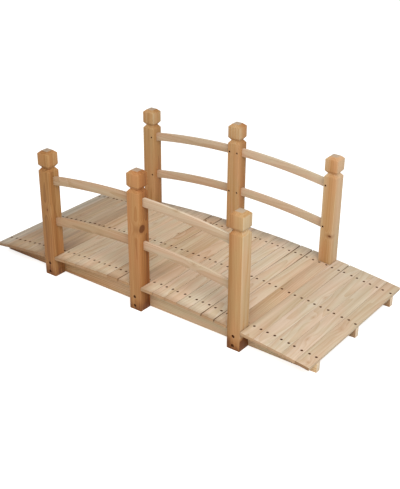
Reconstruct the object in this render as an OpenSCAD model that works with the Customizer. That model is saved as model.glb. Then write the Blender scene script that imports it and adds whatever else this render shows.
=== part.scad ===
// Arched garden footbridge in fir: a cross-planked deck on three flat-footed stringers,
// with three capped posts and two curved rails to a bay on each side.
// +X runs along the bridge, +Y to the walker's left, +Z up from the ground at the middle.

/* [Deck] */
// Width of the deck across the bridge
deck_width = 686; // [560:1:900]
// Height of the deck's top above the ground at its two ends
deck_end_height = 52; // [36:1:90]
// Rise of the deck's arch from its ends to the middle
deck_rise = 53; // [20:1:120]
// Thickness of a deck board
board_thickness = 12; // [8:0.5:20]
// Gap between neighbouring boards, and between a board and a post
board_gap = 2.5; // [1:0.5:6]
// Full boards between one post and the next
boards_per_bay = 7; // [5:1:9]
// Full boards past an end post
boards_past_post = 5; // [2:1:5]
// Clearance between a short board's end and the post that it meets
short_board_clearance = 1; // [0.5:0.5:4]

/* [Stringers] */
// Thickness of a stringer
stringer_thickness = 22; // [16:1:45]
// How far a stringer's end stays back from the deck's end
stringer_setback = 1; // [0:0.5:20]

/* [Posts] */
// Side of a square post
post_size = 55; // [40:1:75]
// Distance between the centres of neighbouring posts
post_spacing = 452; // [380:1:600]
// How far the deck's edge stands out past the posts' outer faces
deck_overhang = 2; // [0:0.5:10]
// Height of an end post from the ground to the shoulder below its neck
end_shoulder_height = 450; // [380:1:620]
// How much taller a middle post is than an end post
middle_post_extra = 32; // [12:1:80]
// Height of the neck, a V-groove cut round the post
neck_height = 25; // [12:1:40]
// Depth of the neck's groove on each face
neck_depth = 10; // [4:0.5:16]
// Height of the cap's upright faces
cap_height = 46; // [25:1:70]
// Height of the chamfer round the cap's top
cap_chamfer_height = 11; // [4:0.5:20]
// How far that chamfer runs in from each face
cap_chamfer_inset = 12; // [4:0.5:18]

/* [Rails] */
// Height of a rail's face
rail_height = 34; // [22:1:50]
// Thickness of a rail
rail_thickness = 11; // [8:0.5:30]
// Drop from a middle post's shoulder to the top of its upper rail
rail_drop_middle = 19; // [8:1:40]
// Drop from an end post's shoulder to the top of its upper rail
rail_drop_end = 24; // [12:1:45]
// Distance from the top of the upper rail down to the top of the lower rail
rail_spacing = 174; // [100:1:210]

/* [Hidden] */
$fn = 720;

// Boards fill each bay evenly; the short boards over the posts are as wide as a post
board_width = (post_spacing - post_size - (boards_per_bay + 1) * board_gap) / boards_per_bay;
board_pitch = board_width + board_gap;
first_board_x = post_size / 2 + board_gap + board_width / 2;
post_step = boards_per_bay + 1;
last_board = post_step + boards_past_post;
board_total = 2 * last_board + 1;

// The deck's arch passes through both ends and the middle
deck_half_length = post_spacing + first_board_x + (boards_past_post - 1) * board_pitch + board_width / 2;
arch_radius = (pow(deck_half_length, 2) + pow(deck_rise, 2)) / (2 * deck_rise);
arch_centre_z = deck_end_height + deck_rise - arch_radius;
seat_radius = arch_radius - board_thickness;
board_mid_radius = arch_radius - board_thickness / 2;
stringer_half_length = deck_half_length - stringer_setback;

// Posts stand outside the outer stringers, against their faces
post_y = deck_width / 2 - deck_overhang - post_size / 2;
post_inner_y = post_y - post_size / 2;
outer_stringer_y = post_inner_y - stringer_thickness / 2;
short_board_length = 2 * (post_inner_y - short_board_clearance);
middle_shoulder_height = end_shoulder_height + middle_post_extra;

// The rails' arc passes through its height at the middle posts and at both end posts
rail_rise = middle_post_extra + rail_drop_end - rail_drop_middle;
rail_radius = (pow(post_spacing, 2) + pow(rail_rise, 2)) / (2 * rail_rise);
upper_rail_crown = middle_shoulder_height - rail_drop_middle;
rail_length = post_spacing - post_size;

post_wood = "#b88a55";
rail_wood = "#c4a283";
deck_wood = "#cdb596";
stringer_wood = "#b59a78";

SIDES = ["right", "left"];
STATIONS = ["start", "middle", "end"];
BAYS = ["start", "end"];
LEVELS = ["upper", "lower"];
STRINGERS = ["right", "centre", "left"];

function stringer_name(s) = str(STRINGERS[s], "_stringer");
function post_name(s, p) = str(SIDES[s], "_", STATIONS[p], "_post");
function rail_name(s, b, l) = str(SIDES[s], "_", BAYS[b], "_", LEVELS[l], "_rail");
function board_name(n) = str("deck_board_", n < 10 ? "0" : "", n);

// Boards are counted from the middle one, 0, to the last one at each end
function is_short(j) = j % post_step == 0;
function board_x(j) =
    j < 0 ? -board_x(-j)
    : j == 0 ? 0
    : j < post_step ? first_board_x + (j - 1) * board_pitch
    : post_spacing + board_x(j - post_step);
function board_tilt(j) = asin(board_x(j) / board_mid_radius);

// The ridge on a stringer's top between the flat seats of boards j and j + 1
function seat_ridge(j) =
    let (mid = (board_tilt(j) + board_tilt(j + 1)) / 2,
         half = (board_tilt(j + 1) - board_tilt(j)) / 2,
         r = seat_radius / cos(half))
    [r * sin(mid), arch_centre_z + r * cos(mid)];

// Height of the last board's seat at the stringer's end
function seat_end_z() =
    let (tilt = board_tilt(last_board))
    arch_centre_z + (seat_radius - stringer_half_length * sin(tilt)) / cos(tilt);

// Stands a profile drawn in X and Z upright, centred across the bridge
module upright(thickness) {
    rotate([90, 0, 0])
        linear_extrude(thickness, center = true)
            children();
}

// Flat foot below, and above it one flat seat for each board, laid round the arch
module stringer_profile() {
    polygon(concat(
        [[-stringer_half_length, 0], [stringer_half_length, 0], [stringer_half_length, seat_end_z()]],
        [for (j = [last_board - 1:-1:-last_board]) seat_ridge(j)],
        [[-stringer_half_length, seat_end_z()]]
    ));
}

module stringer(s) {
    color(stringer_wood)
        translate([0, (s - 1) * outer_stringer_y, 0])
            upright(stringer_thickness)
                stringer_profile();
}

// Side view of a post: shaft, V-grooved neck and chamfered cap
module post_profile(shoulder) {
    face = post_size / 2;
    groove = face - neck_depth;
    crest = face - cap_chamfer_inset;
    cap_z = shoulder + neck_height;
    chamfer_z = cap_z + cap_height;
    top_z = chamfer_z + cap_chamfer_height;
    right_edge = [
        [face, 0], [face, shoulder], [groove, shoulder + neck_height / 2],
        [face, cap_z], [face, chamfer_z], [crest, top_z]
    ];
    left_edge = [for (i = [len(right_edge) - 1:-1:0]) [-right_edge[i].x, right_edge[i].y]];
    polygon(concat(right_edge, left_edge));
}

// The same profile cut from both directions, so that groove and chamfer meet at mitres
module post(s, p) {
    shoulder = p == 1 ? middle_shoulder_height : end_shoulder_height;
    color(post_wood)
        translate([(p - 1) * post_spacing, (2 * s - 1) * post_y, 0])
            intersection() {
                upright(post_size) post_profile(shoulder);
                rotate([0, 0, 90]) upright(post_size) post_profile(shoulder);
            }
}

// One bay's length of the rails' arc, with plumb ends against the posts' faces
module rail_profile() {
    intersection() {
        translate([0, upper_rail_crown - rail_radius])
            difference() {
                circle(rail_radius);
                circle(rail_radius - rail_height);
            }
        translate([post_size / 2, 0])
            square([rail_length, upper_rail_crown]);
    }
}

module rail(s, b, l) {
    color(rail_wood)
        translate([0, (2 * s - 1) * post_y, -l * rail_spacing])
            mirror([1 - b, 0, 0])
                upright(rail_thickness)
                    rail_profile();
}

module deck_board(j) {
    width = is_short(j) ? post_size : board_width;
    length = is_short(j) ? short_board_length : deck_width;
    color(deck_wood)
        translate([0, 0, arch_centre_z])
            rotate([0, board_tilt(j), 0])
                translate([-width / 2, -length / 2, seat_radius])
                    cube([width, length, board_thickness]);
}

for (s = [0:2])
    stringer(s);
for (s = [0:1], p = [0:2])
    post(s, p);
for (s = [0:1], b = [0:1], l = [0:1])
    rail(s, b, l);
for (n = [1:board_total])
    deck_board(n - 1 - last_board);
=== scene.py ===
import math
import random

import bpy
from mathutils import Matrix, Vector
from numpy import interp


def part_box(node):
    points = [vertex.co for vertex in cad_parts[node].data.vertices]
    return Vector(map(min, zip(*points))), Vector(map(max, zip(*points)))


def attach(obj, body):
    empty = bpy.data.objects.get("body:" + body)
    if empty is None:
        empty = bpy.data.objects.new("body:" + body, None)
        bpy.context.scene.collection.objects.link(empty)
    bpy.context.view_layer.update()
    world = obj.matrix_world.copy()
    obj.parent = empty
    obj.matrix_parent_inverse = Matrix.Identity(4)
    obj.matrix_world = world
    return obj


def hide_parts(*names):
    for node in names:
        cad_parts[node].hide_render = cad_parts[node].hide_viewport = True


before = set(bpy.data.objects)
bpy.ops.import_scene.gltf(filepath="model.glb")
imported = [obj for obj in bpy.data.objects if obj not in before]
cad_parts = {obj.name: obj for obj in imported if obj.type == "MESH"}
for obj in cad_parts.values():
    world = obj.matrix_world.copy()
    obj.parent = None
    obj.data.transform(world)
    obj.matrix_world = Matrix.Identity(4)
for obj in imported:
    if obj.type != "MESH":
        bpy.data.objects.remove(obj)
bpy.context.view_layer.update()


# Stringers: three planks of sawn fir set on edge, flat on the ground and cut along the top to one
# flat seat for each deck board. The posts stand against the outer two, and the deck is screwed to
# all three.
def middle(node):
    """The middle of a CAD node's box."""
    low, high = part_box(node)
    return (low + high) / 2


def size(node):
    """The length, width and height of a CAD node's box."""
    low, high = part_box(node)
    return high - low


# The boards' middles lie on one arc, so the crown's and the last one's give its radius
deck_boards = sorted(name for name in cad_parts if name.startswith("deck_board_"))
crown_board = deck_boards[len(deck_boards) // 2]
board_thickness = size(crown_board).z
arch_drop = middle(crown_board).z - middle(deck_boards[-1]).z
arch_radius = (middle(deck_boards[-1]).x ** 2 + arch_drop ** 2) / (2 * arch_drop)


def tilt(board):
    """How far a board leans along the arch, in radians."""
    return math.asin(middle(board).x / arch_radius)


def block(name, low, high):
    """A squared block between two corners, with its place in its mesh."""
    bpy.ops.object.select_all(action="DESELECT")
    bpy.ops.mesh.primitive_cube_add(size=1, location=(low + high) / 2)
    piece = bpy.context.object
    piece.scale = high - low
    bpy.ops.object.transform_apply(location=True, rotation=True, scale=True)
    piece.name = piece.data.name = name
    return piece


def copy_of(pattern, name, place):
    """A copy of a modelled piece with a mesh of its own, put where a matrix says."""
    piece = pattern.copy()
    piece.data = pattern.data.copy()
    piece.name = piece.data.name = name
    piece.data.transform(place)
    bpy.context.collection.objects.link(piece)
    return piece


def work_on(piece):
    """Makes a piece the only one selected, and the active one."""
    bpy.ops.object.select_all(action="DESELECT")
    piece.select_set(True)
    bpy.context.view_layer.objects.active = piece


MERGE_DISTANCE = 1e-5


def merge_doubles(piece):
    """Merges points that a bevel or a cut has left in one place."""
    work_on(piece)
    bpy.ops.object.mode_set(mode="EDIT")
    bpy.ops.mesh.select_all(action="SELECT")
    bpy.ops.mesh.remove_doubles(threshold=MERGE_DISTANCE)
    bpy.ops.object.mode_set(mode="OBJECT")


EASING_SEGMENTS = 2


def ease(piece, width, sharper_than=40):
    """Rounds every edge that turns more sharply than an angle in degrees, as sandpaper does."""
    work_on(piece)
    easing = piece.modifiers.new("easing", "BEVEL")
    easing.width = width
    easing.segments = EASING_SEGMENTS
    easing.limit_method = "ANGLE"
    easing.angle_limit = math.radians(sharper_than)
    bpy.ops.object.modifier_apply(modifier=easing.name)
    merge_doubles(piece)
    bpy.ops.object.shade_smooth_by_angle(angle=math.radians(sharper_than))


def mark(piece, name, values):
    """Keeps one number for each point of a piece, which its material reads by name."""
    column = piece.data.attributes.new(name, "FLOAT", "POINT")
    column.data.foreach_set("value", values)


# The small differences are seeded, so that every run gives the same bridge, and the logs are so long that
# no two pieces show the same stretch of grain
chance = random.Random(27)
LOG_STRETCH = 40.0


def saw_from_log(piece, along, pith, tone, lean=0.0):
    """Keeps where in its log a piece was sawn from: across the log from the pith, and along it.

    along is the axis that the piece's grain runs along, pith is a point on the log's pith, tone is how
    deep the piece's colour is, and lean is how far the log rises through the piece for each metre along."""
    across = [axis for axis in range(3) if axis != along]
    start = chance.uniform(0, LOG_STRETCH)
    grain = piece.data.attributes.new("grain", "FLOAT_VECTOR", "POINT")
    for vertex, spot in zip(piece.data.vertices, grain.data):
        a, b = (vertex.co[axis] - pith[axis] for axis in across)
        spot.vector = (a, b + lean * (vertex.co[along] - pith[along]), vertex.co[along] + start)
    mark(piece, "tone", [tone] * len(piece.data.vertices))


def linear(hex_colour):
    """An sRGB hex colour as linear red, green, blue and alpha."""
    parts = [int(hex_colour[i:i + 2], 16) / 255 for i in (1, 3, 5)]
    return [p / 12.92 if p <= 0.04045 else ((p + 0.055) / 1.055) ** 2.4 for p in parts] + [1.0]


def add(tree, kind, inputs, out=0, **settings):
    """Adds a node with its settings, sets or links its inputs, and gives back one of its outputs."""
    node = tree.nodes.new("ShaderNode" + kind)
    for name, value in settings.items():
        setattr(node, name, value)
    for key, value in inputs.items():
        if isinstance(value, bpy.types.NodeSocket):
            tree.links.new(value, node.inputs[key])
        else:
            node.inputs[key].default_value = value
    return node.outputs[out]


# Where a Mix node takes in its two colours, and where it gives the mixed one out
FIRST = 6
SECOND = 7
MIXED = 2
# Widths of the wood's figure, in metres: yearly rings and how they drift, fibres, mineral streaks,
# flushes of pink, and seeping damp
RING_WIDTH = 0.0065
DRIFT_WIDTH = 1 / 18
FIBRE_WIDTH = 0.0035
STREAK_WIDTH = 0.016
BLUSH_WIDTH = 0.045
SEEP_WIDTH = 0.035
# How they are drawn out along the log: at 0.02 a fibre is fifty times as long as it is wide
DRIFT_SQUEEZE = 0.10
FIBRE_SQUEEZE = 0.02
STREAK_SQUEEZE = 0.035
BLUSH_SQUEEZE = 0.25
# How far the rings drift, how far out the deeper heartwood goes, and how sharply late wood ends a ring
RING_DRIFT = 0.022
HEART_CORE = 0.012
HEART_EDGE = 0.055
LATE_WOOD_SHARPNESS = 2.2
# Branches along the log and round it, from how far off and by how much the rings swerve round one, the
# size of a pin knot, and the share of places where it is smaller
KNOT_SPACING = 0.23
KNOT_ARC = 0.06
KNOT_REACH = 0.030
KNOT_SWERVE = 0.006
PIN_KNOT = 0.0045
KNOT_GRADING = 0.02
# How far inside its edge a knot is darkest, how far outside it that ends, and how wide its halo is
KNOT_CORE = 0.0025
KNOT_RIM = 0.0015
HALO_WIDTH = 0.011
# How much each of them deepens the colour; together the first three add 0.54 on average
LATE_WOOD_DEPTH = 0.30
FIBRE_DEPTH = 0.40
STREAK_DEPTH = 0.50
FIGURE_MEAN = 0.54
HEART_DEPTH = 0.36
DAMP_DEPTH = 0.75
HALO_DEPTH = 0.42
KNOT_DEPTH = 0.90
# Between which levels of noise wood turns from greenish to pink, how squarely a sawn end faces its axis and
# how much it has of its own colour, how strongly streaks show where the wood has gone grey, and over which
# share of its height damp fades out
BLUSH_START = 0.40
BLUSH_FULL = 0.62
END_START = 0.80
END_FULL = 0.97
END_SHARE = 0.65
GREY_STREAKING = 2.0
DAMP_FADE = 0.7
# The surface: roughness of early and late wood, and the raised grain in metres
EARLY_ROUGHNESS = 0.70
LATE_ROUGHNESS = 0.56
LATE_WOOD_RELIEF = 0.5
RELIEF_HEIGHT = 0.0004
RELIEF_STRENGTH = 0.35


def fir(name, stops, ends, figure, knots, pin_knots=0.0, branches=(), damp_height=0.0):
    """Fir: pale early wood and deeper late wood in rings about the pith, fibres along the log, and knots.

    stops are the colours from the palest sapwood to the deepest heartwood, and figure is how strongly the
    grain shows. ends is the axis that the sawn ends face and their colour. knots are the colours round a
    knot and in it, pin_knots is the share of places along the log that have a small one, and branches are
    the knots at known places, each a point on the surface and its half widths, in metres. damp_height is
    how far up damp, and painted shade where a piece marks it, have darkened the wood from the ground."""
    material = bpy.data.materials.new(name)
    material.use_nodes = True
    tree = material.node_tree
    grain = add(tree, "Attribute", {}, out="Vector", attribute_name="grain")
    tone = add(tree, "Attribute", {}, out="Fac", attribute_name="tone")
    place = add(tree, "TexCoord", {}, out="Object")
    split = add(tree, "SeparateXYZ", {0: grain}).node

    # Branches grow out from the pith, so they are scattered round the log and along it
    angle = add(tree, "Math", {0: split.outputs["Y"], 1: split.outputs["X"]}, operation="ARCTAN2")
    round_log = add(tree, "Math", {0: angle, 1: KNOT_ARC}, operation="MULTIPLY")
    bark = add(tree, "CombineXYZ", {"X": round_log, "Y": split.outputs["Z"]})
    nearest = add(tree, "TexVoronoi", {"Vector": bark, "Scale": 1 / KNOT_SPACING},
                  voronoi_dimensions="2D").node
    branch = add(tree, "Math", {0: nearest.outputs["Distance"], 1: KNOT_SPACING}, operation="MULTIPLY")
    chosen = add(tree, "SeparateColor", {0: nearest.outputs["Color"]})
    thickness = add(tree, "MapRange", {"Value": chosen, "From Min": 1 - pin_knots,
                                       "From Max": 1 + KNOT_GRADING - pin_knots,
                                       "To Min": -KNOT_REACH, "To Max": PIN_KNOT})
    branch = add(tree, "Math", {0: branch, 1: thickness}, operation="SUBTRACT")
    for spot, half_widths in branches:
        narrowest = min(half_widths)
        rounding = [narrowest / half_width for half_width in half_widths]
        offset = add(tree, "VectorMath", {0: place, 1: spot}, operation="SUBTRACT")
        offset = add(tree, "VectorMath", {0: offset, 1: rounding}, operation="MULTIPLY")
        away = add(tree, "VectorMath", {0: offset}, out="Value", operation="LENGTH")
        away = add(tree, "Math", {0: away, 1: narrowest}, operation="SUBTRACT")
        branch = add(tree, "Math", {0: branch, 1: away}, operation="MINIMUM")

    # Rings about the pith, which drift a little and swerve round each branch
    slow = add(tree, "VectorMath", {0: grain, 1: (1, 1, DRIFT_SQUEEZE)}, operation="MULTIPLY")
    drift = add(tree, "TexNoise", {"Vector": slow, "Scale": 1 / DRIFT_WIDTH, "Detail": 2.0})
    across = add(tree, "VectorMath", {0: grain, 1: (1, 1, 0)}, operation="MULTIPLY")
    from_pith = add(tree, "VectorMath", {0: across}, out="Value", operation="LENGTH")
    swerve = add(tree, "MapRange", {"Value": branch, "From Max": KNOT_REACH,
                                    "To Min": KNOT_SWERVE, "To Max": 0.0}, interpolation_type="SMOOTHSTEP")
    radius = add(tree, "Math", {0: drift, 1: RING_DRIFT, 2: from_pith}, operation="MULTIPLY_ADD")
    radius = add(tree, "Math", {0: radius, 1: swerve}, operation="ADD")
    ring = add(tree, "Math", {0: radius, 1: 1 / RING_WIDTH}, operation="MULTIPLY")
    ring = add(tree, "Math", {0: ring}, operation="FRACT")
    late_wood = add(tree, "Math", {0: ring, 1: LATE_WOOD_SHARPNESS}, operation="POWER")

    # Fibres and broad mineral streaks run along the log
    thin = add(tree, "VectorMath", {0: grain, 1: (1, 1, FIBRE_SQUEEZE)}, operation="MULTIPLY")
    fibres = add(tree, "TexNoise", {"Vector": thin, "Scale": 1 / FIBRE_WIDTH, "Detail": 2.0})
    broad = add(tree, "VectorMath", {0: grain, 1: (1, 1, STREAK_SQUEEZE)}, operation="MULTIPLY")
    streaks = add(tree, "TexNoise", {"Vector": broad, "Scale": 1 / STREAK_WIDTH, "Detail": 2.0})
    depth = add(tree, "Math", {0: late_wood, 1: LATE_WOOD_DEPTH, 2: -FIGURE_MEAN}, operation="MULTIPLY_ADD")
    depth = add(tree, "Math", {0: fibres, 1: FIBRE_DEPTH, 2: depth}, operation="MULTIPLY_ADD")
    depth = add(tree, "Math", {0: streaks, 1: STREAK_DEPTH, 2: depth}, operation="MULTIPLY_ADD")
    depth = add(tree, "Math", {0: depth, 1: figure, 2: tone}, operation="MULTIPLY_ADD")
    # Heartwood is deeper than the sapwood round it, and damp deepens both; the same mask also paints shade
    # where a piece marks it
    heart_wood = add(tree, "MapRange", {"Value": radius, "From Min": HEART_CORE, "From Max": HEART_EDGE,
                                        "To Min": HEART_DEPTH / 2, "To Max": -HEART_DEPTH / 2},
                     interpolation_type="SMOOTHSTEP")
    depth = add(tree, "Math", {0: depth, 1: heart_wood}, operation="ADD")
    if damp_height:
        height = add(tree, "SeparateXYZ", {0: place}, out="Z")
        seep = add(tree, "TexNoise", {"Vector": place, "Scale": 1 / SEEP_WIDTH, "Detail": 2.0})
        ragged = add(tree, "Math", {0: seep, 1: -damp_height, 2: height}, operation="MULTIPLY_ADD")
        damp = add(tree, "MapRange", {"Value": ragged, "From Min": -damp_height / 2,
                                      "From Max": damp_height * DAMP_FADE,
                                      "To Min": DAMP_DEPTH, "To Max": 0.0}, interpolation_type="SMOOTHSTEP")
        soaking_and_painted_shade = add(tree, "Attribute", {}, out="Fac", attribute_name="damp")
        depth = add(tree, "Math", {0: damp, 1: soaking_and_painted_shade, 2: depth}, operation="MULTIPLY_ADD")
    ramp = add(tree, "ValToRGB", {0: depth}).node
    for i, stop in enumerate(stops):
        at = i / (len(stops) - 1)
        point = ramp.color_ramp.elements[i] if i < 2 else ramp.color_ramp.elements.new(at)
        point.position = at
        point.color = linear(stop)

    # Fresh fir is pinker in some patches and greener in others, and some sticks are ruddy all through
    patches = add(tree, "VectorMath", {0: grain, 1: (1, 1, BLUSH_SQUEEZE)}, operation="MULTIPLY")
    blush = add(tree, "TexNoise", {"Vector": patches, "Scale": 1 / BLUSH_WIDTH, "Detail": 1.0})
    blush = add(tree, "MapRange", {"Value": blush, "From Min": BLUSH_START, "From Max": BLUSH_FULL})
    flush = add(tree, "Mix", {0: blush, FIRST: linear("#FAFBF6"), SECOND: linear("#FFF6F1")},
                out=MIXED, data_type="RGBA")
    colour = add(tree, "Mix", {0: 1.0, FIRST: ramp.outputs[0], SECOND: flush},
                 out=MIXED, data_type="RGBA", blend_type="MULTIPLY")
    ruddy = add(tree, "Attribute", {}, out="Fac", attribute_name="ruddy")
    colour = add(tree, "Mix", {0: ruddy, FIRST: colour, SECOND: linear("#FFF1E6")},
                 out=MIXED, data_type="RGBA", blend_type="MULTIPLY")
    # Its sawn ends have a colour of their own
    end_axis, end_colour = ends
    facing = add(tree, "SeparateXYZ", {0: add(tree, "NewGeometry", {}, out="True Normal")}, out=end_axis)
    facing = add(tree, "Math", {0: facing}, operation="ABSOLUTE")
    sawn_end = add(tree, "MapRange", {"Value": facing, "From Min": END_START, "From Max": END_FULL,
                                      "To Max": END_SHARE})
    colour = add(tree, "Mix", {0: sawn_end, FIRST: colour, SECOND: linear(end_colour)},
                 out=MIXED, data_type="RGBA")
    # It goes grey in streaks where it has weathered, and is brown where dirt has gathered; both mixes also
    # paint shade where a piece marks it
    weather = add(tree, "Attribute", {}, out="Fac", attribute_name="weather")
    weather = add(tree, "Math", {0: weather, 1: streaks}, operation="MULTIPLY")
    weather = add(tree, "Math", {0: weather, 1: GREY_STREAKING}, operation="MULTIPLY", use_clamp=True)
    colour = add(tree, "Mix", {0: weather, FIRST: colour, SECOND: linear("#8E8374")},
                 out=MIXED, data_type="RGBA")
    dirt = add(tree, "Attribute", {}, out="Fac", attribute_name="dirt")
    colour = add(tree, "Mix", {0: dirt, FIRST: colour, SECOND: linear("#7A5230")},
                 out=MIXED, data_type="RGBA")

    # A knot is dark and resinous, with a halo where the rings crowd round it
    halo = add(tree, "MapRange", {"Value": branch, "From Min": 0.0, "From Max": HALO_WIDTH,
                                  "To Min": HALO_DEPTH, "To Max": 0.0}, interpolation_type="SMOOTHSTEP")
    knot = add(tree, "MapRange", {"Value": branch, "From Min": -KNOT_CORE, "From Max": KNOT_RIM,
                                  "To Min": KNOT_DEPTH, "To Max": 0.0}, interpolation_type="SMOOTHSTEP")
    for share, knot_colour in zip((halo, knot), knots):
        colour = add(tree, "Mix", {0: share, FIRST: colour, SECOND: linear(knot_colour)},
                     out=MIXED, data_type="RGBA")

    # Dry planed wood is matt, a little closer on the hard late wood, and the fibres stand up finely
    roughness = add(tree, "MapRange", {"Value": late_wood, "To Min": EARLY_ROUGHNESS,
                                       "To Max": LATE_ROUGHNESS})
    relief = add(tree, "Math", {0: late_wood, 1: LATE_WOOD_RELIEF, 2: fibres}, operation="MULTIPLY_ADD")
    raised = add(tree, "Bump", {"Strength": RELIEF_STRENGTH, "Distance": RELIEF_HEIGHT, "Height": relief})
    shader = tree.nodes["Principled BSDF"]
    tree.links.new(colour, shader.inputs["Base Color"])
    tree.links.new(roughness, shader.inputs["Roughness"])
    tree.links.new(raised, shader.inputs["Normal"])
    shader.inputs["Specular IOR Level"].default_value = 0.3
    return material


# Sawn fir, browner and more strongly figured than the planed pieces, with pale ends fresh from the saw
stringer_fir = fir(
    "sawn_fir_stringer",
    ["#EBD2B0", "#DDB78A", "#C69666", "#A06F44"],
    ends=("X", "#E0CFB7"),
    figure=1.5,
    knots=("#8E5F35", "#5A3519"),
    pin_knots=0.2,
)
STRINGER_EASING = 0.0012
centre = "centre_stringer"
stringer_pattern = block("stringer_pattern", *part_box(centre))
bpy.ops.object.mode_set(mode="EDIT")
for board in deck_boards:
    # The crown's seat is the block's own top
    if board != crown_board:
        upward = Vector((math.sin(tilt(board)), 0, math.cos(tilt(board))))
        seat = middle(board) - upward * board_thickness / 2
        bpy.ops.mesh.select_all(action="SELECT")
        bpy.ops.mesh.bisect(plane_co=seat, plane_no=upward, use_fill=True, clear_outer=True)
# Cuts behind the posts, between which the painted light and shade change slowly along the plank
post_places = [middle(f"right_{station}_post").x for station in ("start", "middle", "end")]
for x in post_places:
    bpy.ops.mesh.select_all(action="SELECT")
    bpy.ops.mesh.bisect(plane_co=(x, 0, 0), plane_no=(1, 0, 0))
bpy.ops.object.mode_set(mode="OBJECT")
ease(stringer_pattern, STRINGER_EASING)

# How deep the planks' colour is, and where their piths lie beside and below their middles
STRINGER_TONE = 0.40
STRINGER_PITH_ASIDE = 0.03
STRINGER_PITH_RISE = (-0.09, -0.05)
# How much deeper the colour is, as painted shade and painted light, and how much painted shade darkens the
# outer sides under the first ramp, at the start, at each post and at the end
places_along = [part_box(centre)[0].x] + post_places + [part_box(centre)[1].x]
painted_light_and_shade = [0.60, 0.26, -0.02, -0.36, -0.06]
ramp_painted_shade = [0.85, 0.10, 0.0, 0.0, 0.0]
# The inner sides are painted dark with the shade under the deck; a point whose normal leans further than
# this along the bridge is on a sawn end instead
UNDER_DECK_PAINTED_SHADE = 0.65
ON_SAWN_END = 0.5
for node in ("right_stringer", centre, "left_stringer"):
    stringer = copy_of(stringer_pattern, "fir_" + node, Matrix.Translation(middle(node) - middle(centre)))
    pith_aside = chance.uniform(-STRINGER_PITH_ASIDE, STRINGER_PITH_ASIDE)
    pith = middle(node) + Vector((0, pith_aside, chance.uniform(*STRINGER_PITH_RISE)))
    saw_from_log(stringer, along=0, pith=pith, tone=STRINGER_TONE)
    # The colour is painted deeper and paler along the plank, as painted shade and painted light
    for vertex, depth in zip(stringer.data.vertices, stringer.data.attributes["tone"].data):
        depth.value += interp(vertex.co.x, places_along, painted_light_and_shade)
    # The outer sides are painted with shade towards the start, under the first ramp
    dirt = []
    for vertex in stringer.data.vertices:
        outer = vertex.normal.y * middle(node).y > 0 or abs(vertex.normal.x) > ON_SAWN_END
        dirt.append(interp(vertex.co.x, places_along, ramp_painted_shade) if outer else UNDER_DECK_PAINTED_SHADE)
    mark(stringer, "dirt", dirt)
    stringer.data.materials.append(stringer_fir)
    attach(stringer, "root")
    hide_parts(node)
bpy.data.objects.remove(stringer_pattern)

# Posts: square sticks of planed fir standing on the ground outside the stringers, each with a V-groove
# sawn round it for a neck and a chamfered cap above. Two screws through the foot hold each to its
# stringer, and one through the inner face holds each rail's end.
NECK_HEIGHT = 0.025
NECK_DEPTH = 0.010
CAP_HEIGHT = 0.046
CHAMFER_HEIGHT = 0.011
CHAMFER_INSET = 0.012
ARRIS = 0.0012
ROUNDING_SEGMENTS = 3
POST_EASING = 0.0008
# Between the turn at a rounded corner's facets, 30 degrees, and the turn into the neck, 39
NECK_TURN = 34
# An edge that rises less than this is level, and a normal that leans more than this faces along an axis
LEVEL = 0.001
FACING = 0.8
posts = sorted(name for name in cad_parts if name.endswith("_post"))
rails = sorted(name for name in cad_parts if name.endswith("_rail"))
end_post = "right_start_post"
post_height = size(end_post).z
half_side = size(end_post).x / 2
shoulder = post_height - CHAMFER_HEIGHT - CAP_HEIGHT - NECK_HEIGHT


def pick(piece, kind, wanted):
    """Goes into edit mode with only those faces or edges selected that a test wants."""
    bpy.ops.object.mode_set(mode="EDIT")
    bpy.ops.mesh.select_mode(type=kind)
    bpy.ops.mesh.select_all(action="DESELECT")
    bpy.ops.object.mode_set(mode="OBJECT")
    for part in piece.data.polygons if kind == "FACE" else piece.data.edges:
        part.select = wanted(part)
    bpy.ops.object.mode_set(mode="EDIT")


def edge_ends(piece, edge):
    """The two points that an edge joins."""
    return [piece.data.vertices[i].co for i in edge.vertices]


def stands_upright(edge):
    """Whether an edge of the post runs up it."""
    a, b = edge_ends(post_pattern, edge)
    return abs(a.z - b.z) > LEVEL


corner = Vector((half_side, half_side, 0))
post_pattern = block("post_pattern", -corner, corner + Vector((0, 0, shoulder)))
pick(post_pattern, "FACE", lambda face: face.normal.z > FACING)
side_now = half_side
for rise, half_width in (
    (NECK_HEIGHT / 2, half_side - NECK_DEPTH),
    (NECK_HEIGHT / 2, half_side),
    (CAP_HEIGHT, half_side),
    (CHAMFER_HEIGHT, half_side - CHAMFER_INSET),
):
    widening = half_width / side_now
    bpy.ops.mesh.extrude_region_move(TRANSFORM_OT_translate={"value": (0, 0, rise)})
    bpy.ops.transform.resize(value=(widening, widening, 1), center_override=(0, 0, 0))
    side_now = half_width
# The four corners are rounded from foot to cap, and the sawn edges a little
pick(post_pattern, "EDGE", stands_upright)
bpy.ops.mesh.bevel(offset=ARRIS, segments=ROUNDING_SEGMENTS)
bpy.ops.object.mode_set(mode="OBJECT")
ease(post_pattern, POST_EASING, sharper_than=NECK_TURN)

# Each post's colour depth, and how far its pith lies from its middle along and across the bridge
post_sticks = {
    "right_start_post": (0.74, (-0.002, -0.004)),
    "right_middle_post": (0.69, (0.012, 0.012)),
    "right_end_post": (0.62, (-0.042, -0.018)),
    "left_start_post": (0.58, (0.012, 0.008)),
    "left_middle_post": (0.50, (0.024, 0.014)),
    "left_end_post": (0.19, (0.002, -0.034)),
}
# How ruddy some of the sticks and caps are
ruddy_sticks = {"right_middle_post": 0.9, "left_end_post": 0.4, "left_middle_post": 0.3}
ruddy_caps = {"left_end_post": 0.6}
# How much paler every cap is painted, as painted light, how much the light has bleached the end sides of
# some sticks, and how much more painted light some caps' end sides get
CAP_PAINTED_LIGHT = 0.05
bleached_faces = {"right_end_post": 0.26}
cap_end_side_painted_light = {"right_start_post": 0.12, "left_start_post": 0.16, "left_middle_post": 0.18}
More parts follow.
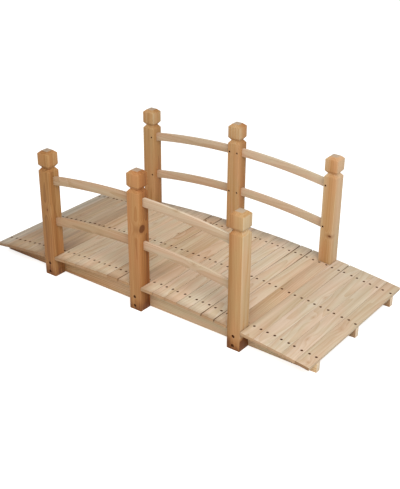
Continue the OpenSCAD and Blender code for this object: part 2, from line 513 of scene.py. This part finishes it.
# How far damp from the ground has soaked into each foot, and how much painted shade from the deck above
# darkens one foot's end side
SLIGHT_SOAKING = 0.15
soaked_feet = {"right_end_post": 0.65, "right_middle_post": 0.5, "right_start_post": 0.35}
end_side_painted_shade = {"right_end_post": 4.0}
# Planed fir that has gone honey brown, damp-stained at the foot, with painted shade on one foot's end side,
# and with three large knots
post_fir = fir(
    "planed_fir_post",
    ["#D5BE9D", "#C49C6D", "#AD7C4A", "#744519"],
    ends=("Z", "#B8A893"),
    figure=0.66,
    knots=("#8F5A30", "#63340E"),
    branches=[
        (Vector((0.0275, -0.3242, 0.3422)), (0.030, 0.016, 0.016)),
        (Vector((0.4681, 0.286, 0.2061)), (0.008, 0.010, 0.0045)),
        (Vector((-0.4454, -0.341, 0.2911)), (0.0035, 0.015, 0.0055)),
    ],
    damp_height=0.05,
)

# The screws' seats: cones that narrow with depth, cut from a little above the wood
SEAT_SIDES = 14
SEAT_DEPTH = 0.0032
SEAT_MARGIN = 0.001
SEAT_FOOT = 0.9
SEAT_MOUTH = 1.1
FOOT_HEAD_RADIUS = 0.0065
RAIL_HEAD_RADIUS = 0.0042
# Heights of the foot's two screws and how far aside they were driven, how far in from the post's side the
# rails' screws are, and how far each kind may be off its mark
FOOT_SCREWS = (0.0150, 0.0535)
FOOT_SCREW_ASIDE = (-0.004, -0.001)
FOOT_SCREW_SLIP = 0.0015
RAIL_SCREW_INSET = 0.008
RAIL_SCREW_SLIP = 0.002
# A rail's height, and the gap under which its end counts as butted on a post
RAIL_HEIGHT = 0.034
BUTT_TOLERANCE = 0.002
screws = {"post": []}


def countersink(piece, spots):
    """Sinks a conical seat for a screw's head at each spot.

    A spot is a point on the surface, the way that it faces, and the head's radius."""
    bpy.ops.object.select_all(action="DESELECT")
    cutters = []
    for point, facing, radius in spots:
        bpy.ops.mesh.primitive_cone_add(vertices=SEAT_SIDES, radius1=radius * SEAT_FOOT,
                                        radius2=radius * SEAT_MOUTH, depth=SEAT_DEPTH + SEAT_MARGIN,
                                        rotation=facing.to_track_quat("Z", "Y").to_euler(),
                                        location=point - facing * (SEAT_DEPTH - SEAT_MARGIN) / 2)
        cutters.append(bpy.context.object)
    for cutter in cutters:
        cutter.select_set(True)
    bpy.ops.object.join()
    drill = bpy.context.object
    work_on(piece)
    seats = piece.modifiers.new("screw_seats", "BOOLEAN")
    seats.object = drill
    seats.operation = "DIFFERENCE"
    seats.solver = "EXACT"
    bpy.ops.object.modifier_apply(modifier=seats.name)
    merge_doubles(piece)
    bpy.data.objects.remove(drill)


for node in posts:
    extra = size(node).z - post_height
    foot = Vector((middle(node).x, middle(node).y, 0))
    post = copy_of(post_pattern, "fir_" + node, Matrix.Identity(4))
    for vertex in post.data.vertices:
        vertex.co.z += extra if vertex.co.z > post_height / 2 else 0
    post.data.transform(Matrix.Translation(foot))
    outward = Vector((0, math.copysign(1, foot.y), 0))
    spots = []
    for height in FOOT_SCREWS:
        aside = chance.uniform(*FOOT_SCREW_ASIDE)
        up_face = Vector((aside, 0, height + chance.uniform(-FOOT_SCREW_SLIP, FOOT_SCREW_SLIP)))
        spots.append((foot + outward * half_side + up_face, outward, FOOT_HEAD_RADIUS))
    for rail in rails:
        low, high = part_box(rail)
        toward = math.copysign(1, middle(rail).x - foot.x)
        gap = abs(middle(rail).x - foot.x) - half_side - size(rail).x / 2
        if abs(gap) < BUTT_TOLERANCE and middle(rail).y * foot.y > 0:
            # The rails are highest at the middle posts and lowest at the end posts
            rail_axis = high.z - RAIL_HEIGHT / 2 if abs(foot.x) < half_side else low.z + RAIL_HEIGHT / 2
            slip = chance.uniform(-RAIL_SCREW_SLIP, RAIL_SCREW_SLIP)
            inset = toward * (half_side - RAIL_SCREW_INSET) + slip
            place = Vector((foot.x + inset, foot.y, rail_axis)) - outward * half_side
            spots.append((place, -outward, RAIL_HEAD_RADIUS))
    countersink(post, spots)
    screws["post"] += spots
    tone, (pith_x, pith_y) = post_sticks[node]
    saw_from_log(post, along=2, pith=foot + Vector((pith_x, pith_y, 0)), tone=tone)
    mark(post, "ruddy", [ruddy_sticks.get(node, 0.0)] * len(post.data.vertices))
    mark(post, "damp", [soaked_feet.get(node, SLIGHT_SOAKING)] * len(post.data.vertices))
    columns = [post.data.attributes[name].data for name in ("tone", "ruddy", "damp")]
    for vertex, depth, ruddy, damp in zip(post.data.vertices, *columns):
        on_cap = vertex.co.z > extra + shoulder + NECK_HEIGHT / 2
        # Every cap is painted paler, as painted light, and some caps' end sides more so
        depth.value -= CAP_PAINTED_LIGHT if on_cap else 0
        if vertex.normal.x > FACING:
            depth.value -= bleached_faces.get(node, 0.0) + (cap_end_side_painted_light.get(node, 0.0) if on_cap else 0)
            # One foot's end side is painted with the deck's shade through the damp mask
            damp.value += end_side_painted_shade.get(node, 0.0)
        elif on_cap:
            ruddy.value += ruddy_caps.get(node, 0.0)
    post.data.materials.append(post_fir)
    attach(post, "root")
    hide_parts(node)
bpy.data.objects.remove(post_pattern)

# Rails: two thin laths of planed fir to each bay, sawn to one long arc over both bays and butted between
# the posts. A screw through the post's inner face holds each end.
RAIL_STEPS = 24
SPIN_REACH = 1.1
SPIN_MERGE = 1e-6
END_ROUNDING = 0.0035
RAIL_EASING = 0.0009
rail_low, rail_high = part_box("right_end_upper_rail")
rail_thickness = rail_high.y - rail_low.y
# The top's drop from one end of the bay to the other gives the arc's radius
rail_run = rail_high.x ** 2 - rail_low.x ** 2
rail_fall = rail_high.z - rail_low.z - RAIL_HEIGHT
rail_radius = rail_run / (2 * rail_fall)
rail_crown = rail_high.z + rail_low.x ** 2 / (2 * rail_radius)


def ends_the_rail(edge):
    """Whether an edge runs through the rail's thickness at one of its ends."""
    a, b = edge_ends(rail_pattern, edge)
    at_end = min(abs(a.x - rail_low.x), abs(a.x - rail_high.x)) < MERGE_DISTANCE
    return at_end and abs(a.y - b.y) > rail_thickness / 2


# The rail's section is swept from the crown to past the end post, and cut off plumb at both posts' faces
bpy.ops.object.select_all(action="DESELECT")
bpy.ops.mesh.primitive_plane_add(size=1, location=(0, 0, rail_crown - RAIL_HEIGHT / 2),
                                 rotation=(0, math.pi / 2, 0))
rail_pattern = bpy.context.object
rail_pattern.scale = (RAIL_HEIGHT, rail_thickness, 1)
bpy.ops.object.transform_apply(location=True, rotation=True, scale=True)
bpy.ops.object.mode_set(mode="EDIT")
bpy.ops.mesh.select_all(action="SELECT")
bpy.ops.mesh.spin(steps=RAIL_STEPS, angle=-SPIN_REACH * rail_high.x / rail_radius,
                  center=(0, 0, rail_crown - rail_radius), axis=(0, 1, 0))
for face_x, outward in ((rail_low.x, -1), (rail_high.x, 1)):
    bpy.ops.mesh.select_all(action="SELECT")
    bpy.ops.mesh.bisect(plane_co=(face_x, 0, 0), plane_no=(outward, 0, 0), use_fill=True, clear_outer=True)
bpy.ops.mesh.select_all(action="SELECT")
bpy.ops.mesh.remove_doubles(threshold=SPIN_MERGE)
bpy.ops.mesh.normals_make_consistent(inside=False)
# The ends' corners are knocked off more than the long edges
pick(rail_pattern, "EDGE", ends_the_rail)
bpy.ops.mesh.bevel(offset=END_ROUNDING, segments=ROUNDING_SEGMENTS)
bpy.ops.object.mode_set(mode="OBJECT")
ease(rail_pattern, RAIL_EASING)

# Planed fir laths, paler and pinker than the posts, with a few pin knots
rail_fir = fir(
    "planed_fir_rail",
    ["#E2D0B9", "#D3BDA3", "#BC9B79", "#98744E"],
    ends=("X", "#A88560"),
    figure=0.55,
    knots=("#A8835C", "#7A5634"),
    branches=[
        (Vector((0.1817, -0.319, 0.4554)), (0.0012, 0.004, 0.0005)),
        (Vector((0.2593, -0.319, 0.2692)), (0.0010, 0.003, 0.0006)),
        (Vector((-0.1877, -0.319, 0.2498)), (0.0010, 0.003, 0.0005)),
        (Vector((-0.3675, -0.319, 0.4378)), (0.0010, 0.003, 0.0005)),
    ],
)
# How deep each bay's laths are in colour, and how much paler their tops are painted, as painted light from
# above
rail_tones = {"right_start": 0.78, "left_start": 0.60, "right_end": 0.60, "left_end": 0.52}
rail_top_painted_light = {"right_start": 0.0, "left_start": 0.14, "right_end": 0.40, "left_end": 0.14}
# How far one lath differs from another, and the lower laths' share of the painted light on the tops and
# their deeper colour
LATH_VARIATION = 0.02
LOWER_SHARE = 0.4
LOWER_DEEPENING = 0.05
# How far a lath's pith lies to either side of it, and above or below its middle
RAIL_PITH_ASIDE = (0.04, 0.07)
RAIL_PITH_RISE = 0.02
for node in rails:
    half_turn = Matrix.Rotation(math.pi if "_start_" in node else 0, 4, "Z")
    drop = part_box(node)[1].z - rail_high.z
    rail = copy_of(rail_pattern, "fir_" + node, Matrix.Translation((0, middle(node).y, drop)) @ half_turn)
    pith_aside = chance.choice((-1, 1)) * chance.uniform(*RAIL_PITH_ASIDE)
    pith = middle(node) + Vector((0, pith_aside, chance.uniform(-RAIL_PITH_RISE, RAIL_PITH_RISE)))
    bay = "_".join(node.split("_")[:2])
    tone = rail_tones[bay] + chance.uniform(-LATH_VARIATION, LATH_VARIATION)
    top_painted_light = rail_top_painted_light[bay]
    if "_lower_" in node:
        tone += LOWER_DEEPENING
        top_painted_light *= LOWER_SHARE
    saw_from_log(rail, along=0, pith=pith, tone=tone)
    # The tops are painted paler, as painted light from above
    for vertex, depth in zip(rail.data.vertices, rail.data.attributes["tone"].data):
        depth.value -= top_painted_light if vertex.normal.z > FACING else 0
    rail.data.materials.append(rail_fir)
    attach(rail, "root")
    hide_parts(node)
bpy.data.objects.remove(rail_pattern)

# Deck boards: planed fir laid across the stringers, each flat on its seats. The edges wander a little, so
# some seams are tight and some gape. Two countersunk screws hold each board to each stringer.
BOARD_CUTS = 8
BOARD_EASING = 0.0004
END_STAGGER = 0.0015
half_deck = size(deck_boards[0]).y / 2
# Places along a board are told apart to this many decimals of a metre
DECIMALS = 5
# The short boards between the start posts and between the end posts; past them are the two ramps
START_POST_BOARD = 6
END_POST_BOARD = 22
# Seams are numbered by the board before them; some gape at the deck's right or left edge, and open more
# sharply there on the right
SEAM_ON_DRAWING = 0.0025
TIGHT_SEAM = 0.0001
OPEN_SEAM = 0.0009
WANDER = 0.0001
GAPE = 0.0042
RIGHT_GAPE_SHARPNESS = 5
LEFT_GAPE_SHARPNESS = 2
open_seams = {5, 7, 8, 11, 12, 15, 16, 17, 18, 19, 20}
gaping_right = {12, 13, 19, 20, 21}
gaping_left = {11, 12, 19, 20, 23}


def edge_offset(seam, y):
    """How far a board's edge stands out past the drawing's, beside a seam, at a place across the deck."""
    if seam in (0, len(deck_boards)):
        return chance.uniform(-WANDER, WANDER)
    width = OPEN_SEAM if seam in open_seams else TIGHT_SEAM
    if seam in gaping_right:
        width += GAPE * max(0.0, -y / half_deck) ** RIGHT_GAPE_SHARPNESS
    if seam in gaping_left:
        width += GAPE * max(0.0, y / half_deck) ** LEFT_GAPE_SHARPNESS
    return (SEAM_ON_DRAWING - width) / 2 + chance.uniform(-WANDER, WANDER)


# How deep the boards' colour is, and how much deeper it is on boards from the heart, from near it and from
# further out, and on boards that are nearly all sapwood
BOARD_TONES = (0.42, 0.54)
board_deepening = (
    (0.36, {2, 3, 5}),
    (0.22, {4, 6, 12, 14, 22}),
    (0.08, {7, 13, 20, 23, 27}),
    (-0.12, {1, 16, 18, 19, 20, 24, 26}),
)
# Boards that grow paler towards their left ends, and boards that are ruddy
FADING = 0.26
fading_boards = {14, 22, 23}
RUDDINESS = 0.35
ruddy_boards = {15, 16, 17, 22}
# Where a board's pith lies, beside it and above or below; the last short board was sawn from close to it
BOARD_PITH_ASIDE = 0.035
BOARD_PITH_OFF = (0.04, 0.09)
CLOSE_PITH = Vector((-0.034, 0, -0.016))
# A board is rarely sawn true to its log, so the rings run out at its face in long arches
LOG_LEAN = 0.05
leaning = random.Random(9)
# Dirt in the seams, on the right ends of some boards, and browning along the right edge of the deck's top
OPEN_DIRT = 0.85
TIGHT_DIRT = 0.25
END_DIRT = 0.55
dirty_ends = {1, 2, 3, 4, 27}
BROWNING = 0.52
SLIGHT_BROWNING = 0.36
BROWN_LENGTH = 0.028
browned_ends = {7, 12, 20, 21}
clean_ends = {23, 24, 25, 26, 27}
# How grey and how brown the right posts' painted shadow makes the short boards beside them, from part of
# the way out
post_shadow_on_short_boards = {6: (1.2, 1.2), 14: (0.8, 0.1), 22: (0.4, 0.5)}
SHADE_START = 0.3
# How grey the first board is, the rest of that ramp, the other ramp, and the boards' left ends between them
FIRST_GREY = 0.55
START_GREY = 0.32
END_GREY = 0.14
LEFT_GREY = 0.6
LEFT_START = 0.78


def post_shade(y):
    """How deep in the right posts' shade a place across the deck is."""
    return max(0.0, -y / half_deck - SHADE_START)


def grey_and_painted_shade(number, y):
    """How grey a board is at a place across the deck: weathered on the ramps, greyer towards the left ends
    between them, and grey with the right posts' painted shadow on the short boards.
    """
    if number < START_POST_BOARD:
        return FIRST_GREY if number == 1 else START_GREY
    if number in post_shadow_on_short_boards and y < 0:
        return post_shadow_on_short_boards[number][0] * post_shade(y)
    if number >= END_POST_BOARD:
        return END_GREY
    return LEFT_GREY * max(0.0, y / half_deck - LEFT_START) / (1 - LEFT_START)


# Planed fir boards, pale and streaky, with reddish knots
SMALL_KNOT = (0.0006, 0.0014, 0.004)
deck_fir = fir(
    "planed_fir_deck",
    ["#E6D7C4", "#D6BFA2", "#C19F7A", "#A07D57"],
    ends=("Y", "#B68656"),
    figure=0.78,
    knots=("#B58D68", "#94663F"),
    pin_knots=0.2,
    branches=[
        (Vector((0.5866, 0.0638, 0.0736)), SMALL_KNOT),
        (Vector((0.6215, -0.0799, 0.0697)), SMALL_KNOT),
        (Vector((0.6748, -0.2081, 0.0634)), SMALL_KNOT),
        (Vector((0.7319, -0.0677, 0.0560)), SMALL_KNOT),
        (Vector((0.7426, -0.3175, 0.0546)), (0.0016, 0.0020, 0.004)),
        (Vector((-0.1464, 0.1091, 0.1030)), (0.0030, 0.005, 0.020)),
        (Vector((-0.2937, 0.1332, 0.0971)), SMALL_KNOT),
        (Vector((-0.6514, 0.0435, 0.0663)), (0.0030, 0.004, 0.020)),
    ],
)
# The heads are larger as far as the start posts. A board's two screws stand this far from its middle line,
# and each may be a little off its mark along and across the bridge
HEAD_RADIUS = 0.0051
RAMP_HEAD_RADIUS = 0.0060
SCREW_SPREAD = 0.015
SCREW_SLIP_ALONG = 0.002
SCREW_SLIP_ACROSS = 0.0025
stringer_rows = {"right": middle("right_stringer").y, "centre": 0.0, "left": middle("left_stringer").y}
screws.update({row: [] for row in stringer_rows})


def is_long(edge):
    """Whether an edge of the board in hand runs along it from end to end."""
    a, b = edge_ends(board, edge)
    return abs(a.y - b.y) > extent.y / 2


for number, node in enumerate(deck_boards, start=1):
    extent = size(node)
    lean = tilt(node)
    width = (extent.x - board_thickness * abs(math.sin(lean))) / math.cos(lean)
    low = Vector((-width / 2, -extent.y / 2 + chance.uniform(0, END_STAGGER), -board_thickness / 2))
    high = Vector((width / 2, extent.y / 2 - chance.uniform(0, END_STAGGER), board_thickness / 2))
    board = block("fir_" + node, low, high)
    pick(board, "EDGE", is_long)
    bpy.ops.mesh.subdivide(number_cuts=BOARD_CUTS)
    bpy.ops.object.mode_set(mode="OBJECT")
    stations = sorted({round(vertex.co.y, DECIMALS) for vertex in board.data.vertices})
    edges = {(side, y): edge_offset(number - (side < 0), y) for y in stations for side in (-1, 1)}
    for vertex in board.data.vertices:
        side = math.copysign(1, vertex.co.x)
        vertex.co.x += side * edges[side, round(vertex.co.y, DECIMALS)]
    # One more cut, where the browning along the right edge ends
    bpy.ops.object.mode_set(mode="EDIT")
    bpy.ops.mesh.select_all(action="SELECT")
    bpy.ops.mesh.bisect(plane_co=(0, low.y + BROWN_LENGTH, 0), plane_no=(0, 1, 0))
    bpy.ops.object.mode_set(mode="OBJECT")
    ease(board, BOARD_EASING)

    spots = {row: [] for row in stringer_rows}
    head_radius = RAMP_HEAD_RADIUS if number <= START_POST_BOARD else HEAD_RADIUS
    for row, y in stringer_rows.items():
        for spread in (-SCREW_SPREAD, SCREW_SPREAD):
            slip_along = chance.uniform(-SCREW_SLIP_ALONG, SCREW_SLIP_ALONG)
            slip_across = chance.uniform(-SCREW_SLIP_ACROSS, SCREW_SLIP_ACROSS)
            place = Vector((spread, y, board_thickness / 2)) + Vector((slip_along, slip_across, 0))
            spots[row].append((place, Vector((0, 0, 1)), head_radius))
    countersink(board, [spot for row in spots.values() for spot in row])

    # Dirt gathers on the sides that face a seam, and most where it is open
    dirt = []
    for vertex in board.data.vertices:
        seam = number - (vertex.co.x < 0)
        within = low.y + BOARD_EASING / 2 < vertex.co.y < high.y - BOARD_EASING / 2
        on_side = abs(vertex.co.x) > width / 2 - GAPE and within
        below_edge = vertex.co.z < board_thickness / 2 - BOARD_EASING / 2
        if on_side and below_edge and seam not in (0, len(deck_boards)):
            dirt.append(OPEN_DIRT if seam in open_seams else TIGHT_DIRT)
        elif number in dirty_ends and vertex.co.y < low.y + BOARD_EASING / 2:
            dirt.append(END_DIRT)
        # The right posts' painted shadow browns the short boards' tops
        elif number in post_shadow_on_short_boards and vertex.co.z > 0:
            dirt.append(post_shadow_on_short_boards[number][1] * post_shade(vertex.co.y))
        elif vertex.co.y < low.y + 2 * BOARD_EASING and vertex.co.z > 0 and number not in clean_ends:
            dirt.append(BROWNING if number in browned_ends else SLIGHT_BROWNING)
        else:
            dirt.append(0.0)
    mark(board, "dirt", dirt)

    laid = Matrix.Translation(middle(node)) @ Matrix.Rotation(lean, 4, "Y")
    board.data.transform(laid)
    for row in stringer_rows:
        for point, facing, radius in spots[row]:
            screws[row].append((laid @ point, laid.to_3x3() @ facing, radius))

    pith_aside = chance.uniform(-BOARD_PITH_ASIDE, BOARD_PITH_ASIDE)
    pith_off = chance.choice((-1, 1)) * chance.uniform(*BOARD_PITH_OFF)
    pith = middle(node) + (CLOSE_PITH if number == END_POST_BOARD else Vector((pith_aside, 0, pith_off)))
    tone = chance.uniform(*BOARD_TONES)
    tone += sum(deeper for deeper, boards in board_deepening if number in boards)
    saw_from_log(board, along=1, pith=pith, tone=tone, lean=leaning.uniform(-LOG_LEAN, LOG_LEAN))
    if number in fading_boards:
        for vertex, depth in zip(board.data.vertices, board.data.attributes["tone"].data):
            depth.value -= FADING * max(0.0, vertex.co.y / half_deck)
    mark(board, "ruddy", [RUDDINESS * (number in ruddy_boards)] * len(board.data.vertices))
    mark(board, "weather", [grey_and_painted_shade(number, vertex.co.y) for vertex in board.data.vertices])
    board.data.materials.append(deck_fir)
    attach(board, "root")
    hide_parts(node)

# Screws: browned steel, countersunk a little below the wood, with a round driving recess. Those of each
# stringer's row in the deck are one piece, and so are those of the posts.
HEAD_SUNK = 0.0012
# One head of radius 1, tapered to sit in its seat, and its recess
HEAD_SIDES = 12
HEAD_DEPTH = 0.3
HEAD_FOOT = 0.86
HEAD_TOP = 0.98
RECESS_RIM = 0.45
RECESS_DEPTH = 0.2
RECESS_TAPER = 0.6
bpy.ops.object.select_all(action="DESELECT")
bpy.ops.mesh.primitive_cone_add(vertices=HEAD_SIDES, radius1=HEAD_FOOT, radius2=HEAD_TOP, depth=HEAD_DEPTH,
                                location=(0, 0, -HEAD_DEPTH / 2))
screw_pattern = bpy.context.object
bpy.ops.object.transform_apply(location=True, rotation=True, scale=True)
pick(screw_pattern, "FACE", lambda face: face.normal.z > FACING)
bpy.ops.mesh.inset(thickness=RECESS_RIM)
bpy.ops.mesh.extrude_region_move(TRANSFORM_OT_translate={"value": (0, 0, -RECESS_DEPTH)})
bpy.ops.transform.resize(value=(RECESS_TAPER, RECESS_TAPER, 1), center_override=(0, 0, 0))
bpy.ops.object.mode_set(mode="OBJECT")

# Browned steel: dark and matt, because the oxide and rust on it hide the metal's shine
RUST_GRAIN = 0.006
browned_steel = bpy.data.materials.new("browned_steel_screw")
browned_steel.use_nodes = True
tree = browned_steel.node_tree
place = add(tree, "TexCoord", {}, out="Object")
rust = add(tree, "TexNoise", {"Vector": place, "Scale": 1 / RUST_GRAIN, "Detail": 2.0})
steel = add(tree, "Mix", {0: rust, FIRST: linear("#2C190C"), SECOND: linear("#5A3013")},
            out=MIXED, data_type="RGBA")
shader = tree.nodes["Principled BSDF"]
tree.links.new(steel, shader.inputs["Base Color"])
shader.inputs["Metallic"].default_value = 0.0
shader.inputs["Roughness"].default_value = 0.9
shader.inputs["Specular IOR Level"].default_value = 0.1
screw_pattern.data.materials.append(browned_steel)
for row, spots in screws.items():
    heads = []
    for point, facing, radius in spots:
        turn = facing.to_track_quat("Z", "Y").to_matrix().to_4x4()
        seat = Matrix.Translation(point - facing * HEAD_SUNK) @ turn @ Matrix.Scale(radius, 4)
        heads.append(copy_of(screw_pattern, "screw_head", seat))
    work_on(heads[0])
    for head in heads:
        head.select_set(True)
    bpy.ops.object.join()
    heads[0].name = heads[0].data.name = f"{row}_screws"
    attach(heads[0], "root")
bpy.data.objects.remove(screw_pattern)

# Studio: a pale floor that keeps a faint shadow, a white surround, one broad soft light high on the
# right and in front, and the camera where the photograph was taken from.
FLOOR_SIZE = 60
FLOOR_GLOW = 0.74
SURROUND_LIGHT = 0.52


def looked_at(tree):
    """Is 1 where the camera looks, straight or by way of gloss or glass, and 0 where light falls."""
    rays = add(tree, "LightPath", {}).node
    seen = rays.outputs["Is Camera Ray"]
    for way in ("Is Glossy Ray", "Is Transmission Ray"):
        seen = add(tree, "Math", {0: seen, 1: rays.outputs[way]}, operation="MAXIMUM")
    return seen


bpy.ops.object.select_all(action="DESELECT")
bpy.ops.mesh.primitive_plane_add(size=FLOOR_SIZE, location=(0, 0, 0))
floor = bpy.context.object
floor.name = "studio_floor"
# Matt pale grey paint; the camera also sees a white glow on it, so that only part of the shadow shows
floor_paint = bpy.data.materials.new("matt_pale_floor")
floor_paint.use_nodes = True
floor.data.materials.append(floor_paint)
tree = floor_paint.node_tree
shader = tree.nodes["Principled BSDF"]
shader.inputs["Base Color"].default_value = linear("#D6D6D4")
shader.inputs["Roughness"].default_value = 1.0
shader.inputs["Specular IOR Level"].default_value = 0.0
glow = add(tree, "Math", {0: looked_at(tree), 1: FLOOR_GLOW}, operation="MULTIPLY")
white = add(tree, "Emission", {"Color": (1, 1, 1, 1), "Strength": glow})
lit = add(tree, "AddShader", {0: shader.outputs[0], 1: white})
tree.links.new(lit, tree.nodes["Material Output"].inputs["Surface"])

world = bpy.data.worlds.new("white_surround")
bpy.context.scene.world = world
world.use_nodes = True
tree = world.node_tree
level = add(tree, "MapRange", {"Value": looked_at(tree), "To Min": SURROUND_LIGHT, "To Max": 1.0})
tree.links.new(level, tree.nodes["Background"].inputs["Strength"])
tree.nodes["Background"].inputs["Color"].default_value = (1, 1, 1, 1)

SOFTBOX_PLACE = Vector((2.9, -2.8, 4.0))
SOFTBOX_AIM = Vector((0.2, 0, 0.1))
key = bpy.data.lights.new("softbox", "AREA")
key.shape = "SQUARE"
key.size = 3.0
key.energy = 200
softbox = bpy.data.objects.new("softbox", key)
softbox.location = SOFTBOX_PLACE
softbox.rotation_euler = (SOFTBOX_AIM - SOFTBOX_PLACE).to_track_quat("-Z", "Y").to_euler()
bpy.context.collection.objects.link(softbox)

CAMERA_TARGET = Vector((0.0332, 0.0202, 0.1427))
CAMERA_DISTANCE = 3.6249
CAMERA_AZIMUTH = math.radians(36.837)
CAMERA_ELEVATION = math.radians(26.860)
CAMERA_ROLL = math.radians(0.381)
lens = bpy.data.cameras.new("camera")
lens.lens = 66.73
camera = bpy.data.objects.new("camera", lens)
backward = Vector((
    math.sin(CAMERA_AZIMUTH) * math.cos(CAMERA_ELEVATION),
    -math.cos(CAMERA_AZIMUTH) * math.cos(CAMERA_ELEVATION),
    math.sin(CAMERA_ELEVATION),
))
level_right = Vector((math.cos(CAMERA_AZIMUTH), math.sin(CAMERA_AZIMUTH), 0))
level_up = backward.cross(level_right)
axes = Matrix((level_right, level_up, backward)).transposed() @ Matrix.Rotation(CAMERA_ROLL, 3, "Z")
camera.matrix_world = Matrix.Translation(CAMERA_TARGET + backward * CAMERA_DISTANCE) @ axes.to_4x4()
bpy.context.collection.objects.link(camera)
bpy.context.scene.camera = camera
bpy.context.scene.view_settings.view_transform = "Standard"
